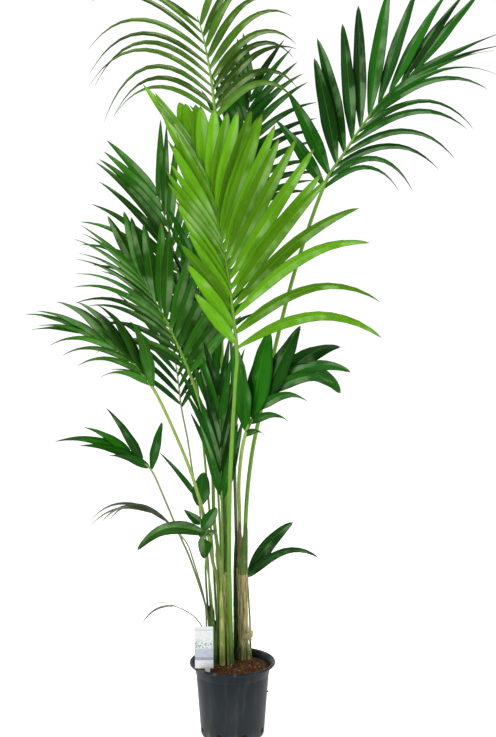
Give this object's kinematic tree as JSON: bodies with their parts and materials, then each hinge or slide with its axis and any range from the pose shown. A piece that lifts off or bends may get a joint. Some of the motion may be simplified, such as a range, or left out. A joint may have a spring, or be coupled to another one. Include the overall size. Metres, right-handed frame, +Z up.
{
  "type": "potted palm",
  "caption": "Kentia-type palm in a round nursery pot: upright clump of stems with arching feather-shaped fronds, soil and a plain plant label.",
  "frame": {"origin": "centre of the pot's flat base, on the surface it stands on", "axes": "+Z up along the pot's axis; +X to the right and +Y away from someone who stands in front of the palm"},
  "size_m": [1.1596, 0.8829, 1.9512],
  "materials": {
    "pot_plastic": "black injection-moulded nursery pot, satin",
    "soil": "coarse brown peat; wood stands in for plant fibre",
    "label_plastic": "thin white plastic plate",
    "stem_fibre": "tan fibrous palm stem",
    "stem_sheath": "olive striped leaf sheaths",
    "stem_dark": "dark green-brown leaf sheaths",
    "leaf_bright": "young yellow-green leaflets, satin; wood stands in for living plant tissue",
    "leaf_mid": "green leaflets, satin; wood stands in for living plant tissue",
    "leaf_dark": "dark green leaflets, satin; wood stands in for living plant tissue"
  },
  "bodies": {
    "root": {"pot": "pot_plastic", "soil": "soil", "label": "label_plastic", "stem_right": "stem_fibre", "stem_centre": "stem_sheath", "stem_left": "stem_dark", "stem_far_left": "stem_dark", "frond_bright": "leaf_bright", "frond_top": "leaf_mid", "frond_right": "leaf_dark", "frond_back_top": "leaf_dark", "frond_mid_right": "leaf_dark", "frond_upper_left": "leaf_mid", "frond_left": "leaf_mid", "frond_far_left": "leaf_mid", "frond_low_left": "leaf_dark", "frond_low_right": "leaf_dark", "frond_low_front": "leaf_mid", "frond_arch_left": "leaf_dark", "frond_lowest_left": "leaf_dark", "frond_small_fork": "leaf_dark", "frond_inner_low": "leaf_dark", "frond_centre": "leaf_dark", "frond_rear_left": "leaf_dark", "frond_rear": "leaf_dark"}
  },
  "joints": []
}
